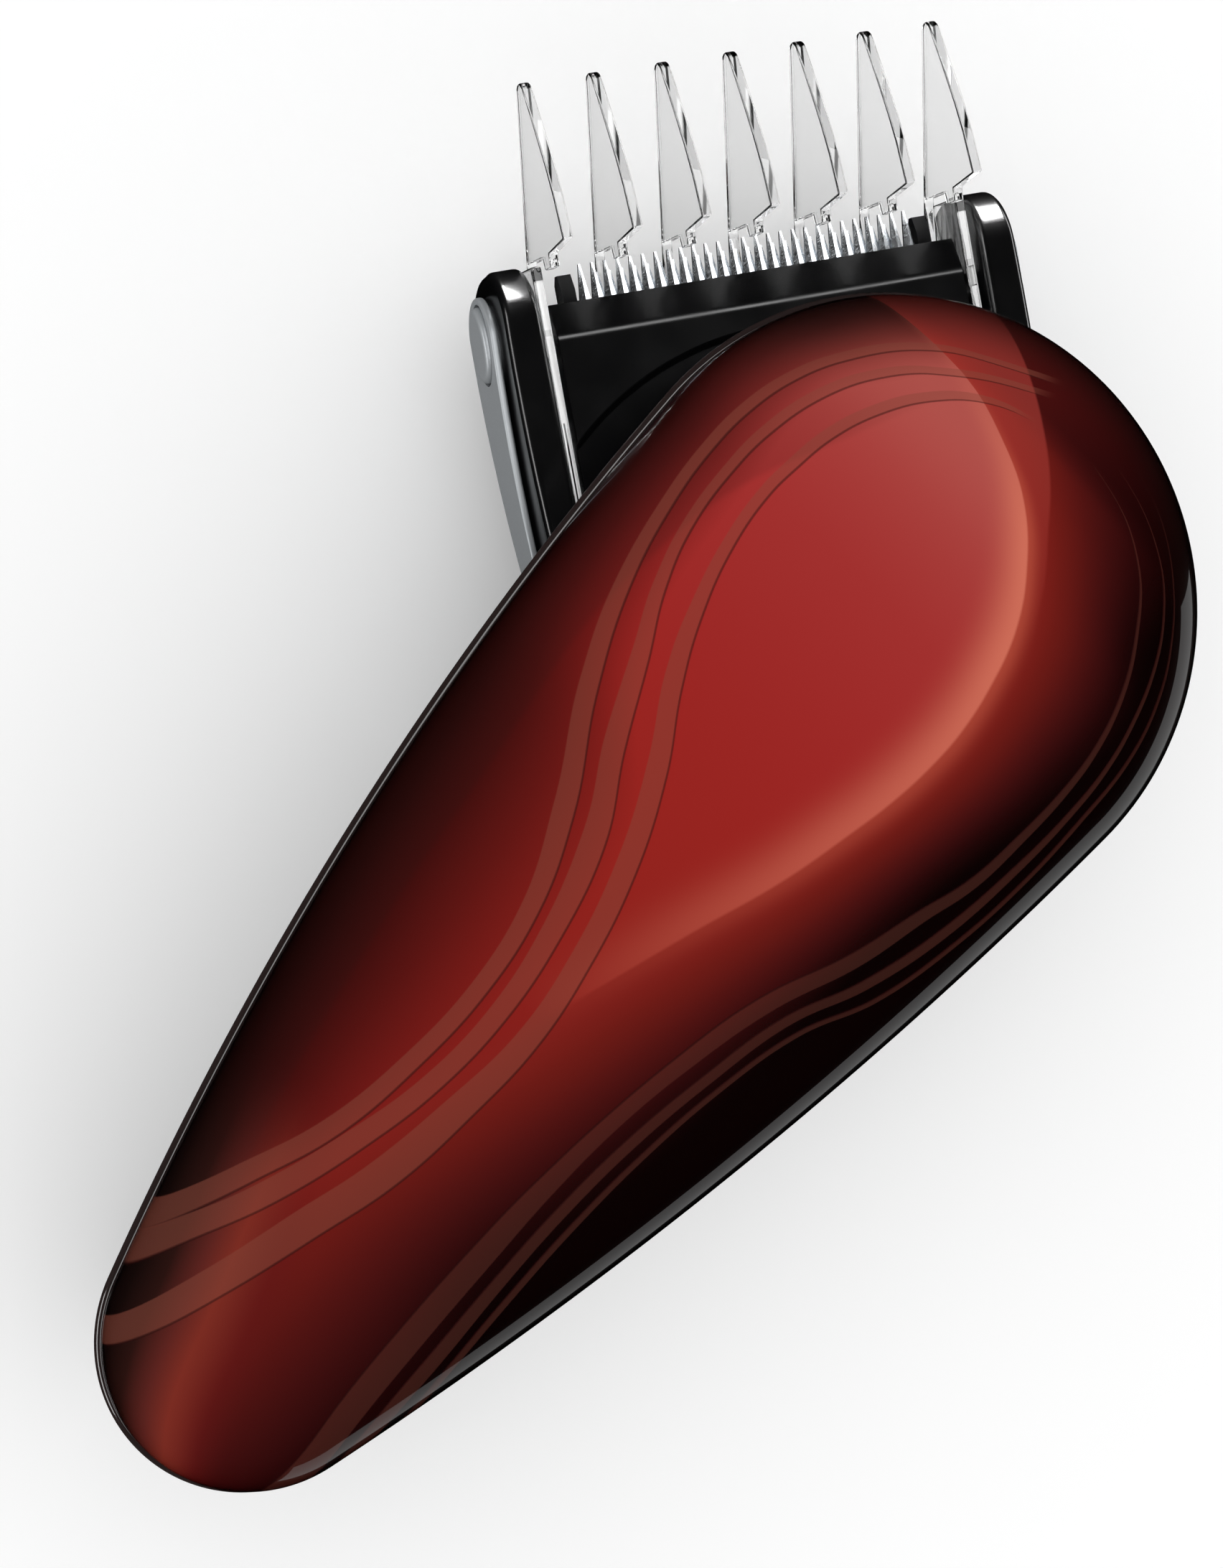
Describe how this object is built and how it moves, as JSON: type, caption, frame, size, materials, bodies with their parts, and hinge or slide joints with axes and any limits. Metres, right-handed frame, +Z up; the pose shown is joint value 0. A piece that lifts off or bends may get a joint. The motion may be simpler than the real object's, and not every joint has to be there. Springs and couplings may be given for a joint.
{
  "type": "hair clipper",
  "caption": "Palm-held hair clipper: a teardrop red body, a cutting head that swivels half a turn, and a sliding clear comb with a length button.",
  "frame": {"origin": "on the head's swivel axis, at the flat back of the head's drum, which the clipper lies on", "axes": "+Z up through the red cover, +Y along the body from its tail to its wide end"},
  "size_m": [0.1043, 0.1779, 0.0505],
  "materials": {
    "red_clear": "deep translucent red, high gloss",
    "red_print": "red with printed darker waves",
    "clear_trim": "clear pinkish-grey edge, gloss",
    "black_gloss": "black, gloss",
    "black_satin": "black, fine satin",
    "soft_rubber": "soft matte, ribbed",
    "clear_plastic": "clear, polished",
    "silver_plate": "silver-grey satin",
    "steel": "ground steel",
    "brass": "turned",
    "board_green": "board lacquer",
    "cell_wrap": "printed sleeve",
    "nylon": "natural nylon"
  },
  "bodies": {
    "body": {"top_cover": "red_clear", "front_housing": "red_print", "trim_ring": "clear_trim", "rear_housing": "black_satin", "grip_pad": "soft_rubber", "battery_lower": "cell_wrap", "battery_upper": "cell_wrap", "battery_contact_front": "steel", "battery_contact_rear": "steel", "circuit_board": "board_green", "charging_jack": "black_satin", "charging_light": "clear_plastic", "switch_block": "black_satin", "motor": "steel", "motor_bracket": "steel", "swivel_click_spring": "steel", "housing_screw_1": "steel", "housing_screw_2": "steel"},
    "slider": {"power_slider": "silver_plate"},
    "rotor": {"motor_shaft": "steel", "eccentric_cam": "brass"},
    "head": {"head_housing": "black_gloss", "head_back_cover": "black_satin", "retaining_clip": "steel", "head_screw_1": "steel", "head_screw_2": "steel", "head_screw_3": "steel", "lever_pin": "steel", "cutter_frame": "black_satin", "guard_blade": "steel", "blade_spring": "steel"},
    "lever": {"drive_lever": "nylon"},
    "cutter": {"moving_blade": "steel", "blade_follower": "nylon"},
    "comb": {"comb_rack": "clear_plastic", "comb_arm_left": "black_gloss", "comb_arm_right": "black_gloss", "arm_plate_left": "silver_plate", "arm_plate_right": "silver_plate"},
    "button": {"length_button": "silver_plate"}
  },
  "joints": [
    {"name": "head_swivel", "type": "hinge", "parent": "body", "child": "head", "pos_m": [0, 0, 0.0223], "axis": [0, 0, 1], "range_deg": [-144, 36]},
    {"name": "comb_slide", "type": "slide", "parent": "head", "child": "comb", "axis": [-0.809, 0.5878, 0], "range_m": [0, 0.012]},
    {"name": "length_button_press", "type": "slide", "parent": "comb", "child": "button", "axis": [0.5878, 0.809, 0], "range_m": [0, 0.0008], "stiffness_N_per_m": 300, "springref_m": -0.0008},
    {"name": "power_slide", "type": "slide", "parent": "body", "child": "slider", "axis": [0, 1, 0], "range_m": [0, 0.005]},
    {"name": "motor_spin", "type": "hinge", "parent": "body", "child": "rotor", "pos_m": [0, 0, 0.02], "axis": [0, 0, 1], "continuous": true},
    {"name": "lever_swing", "type": "hinge", "parent": "head", "child": "lever", "pos_m": [-0.01699, 0.01234, 0.0136], "axis": [0, 0, 1], "range_deg": [-3.4, 3.4]},
    {"name": "cutter_slide", "type": "slide", "parent": "head", "child": "cutter", "axis": [0.5878, 0.809, 0], "range_m": [-0.0011, 0.0011]}
  ],
  "couplings": [
    {"joint": "lever_swing", "follows": "cutter_slide", "rad_per_m": -52.63}
  ]
}
